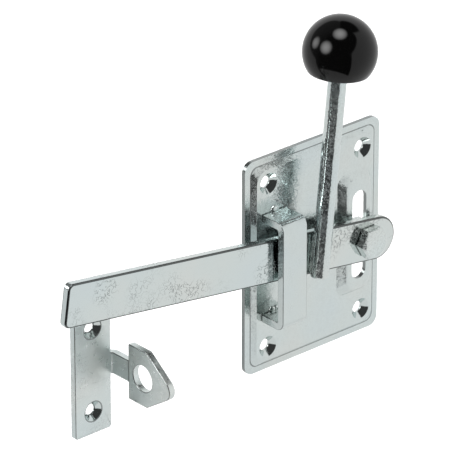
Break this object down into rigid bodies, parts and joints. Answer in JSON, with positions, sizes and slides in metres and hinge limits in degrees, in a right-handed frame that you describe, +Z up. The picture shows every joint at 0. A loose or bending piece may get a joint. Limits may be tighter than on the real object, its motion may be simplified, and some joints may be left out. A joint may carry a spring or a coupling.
{
  "type": "gate latch",
  "caption": "Falling-bar gate latch: pressed back plate, guide bracket, pivoting flat bar with a ball-headed lever, and a hooked keeper for a padlock.",
  "frame": {"origin": "centre of the back plate's four screw holes, on the face of the gate that the plate is screwed to", "axes": "+X to the right along the plate's width, +Y into the gate, +Z up"},
  "size_m": [0.2391, 0.0511, 0.2088],
  "materials": {
    "zinc_steel": "bright zinc plating",
    "knob_plastic": "polished black"
  },
  "bodies": {
    "mount": {"back_plate": "zinc_steel", "guide_bracket": "zinc_steel", "pivot_bolt": "zinc_steel", "pivot_washer": "zinc_steel", "rear_nut": "zinc_steel", "keeper": "zinc_steel"},
    "latch": {"latch_bar": "zinc_steel", "lever_rod": "zinc_steel", "ball_knob": "knob_plastic"}
  },
  "joints": [
    {"name": "latch_pivot", "type": "hinge", "parent": "mount", "child": "latch", "pos_m": [0.03, 0, -0.0016], "axis": [0, 1, 0], "range_deg": [-8.4, 4.6]}
  ]
}
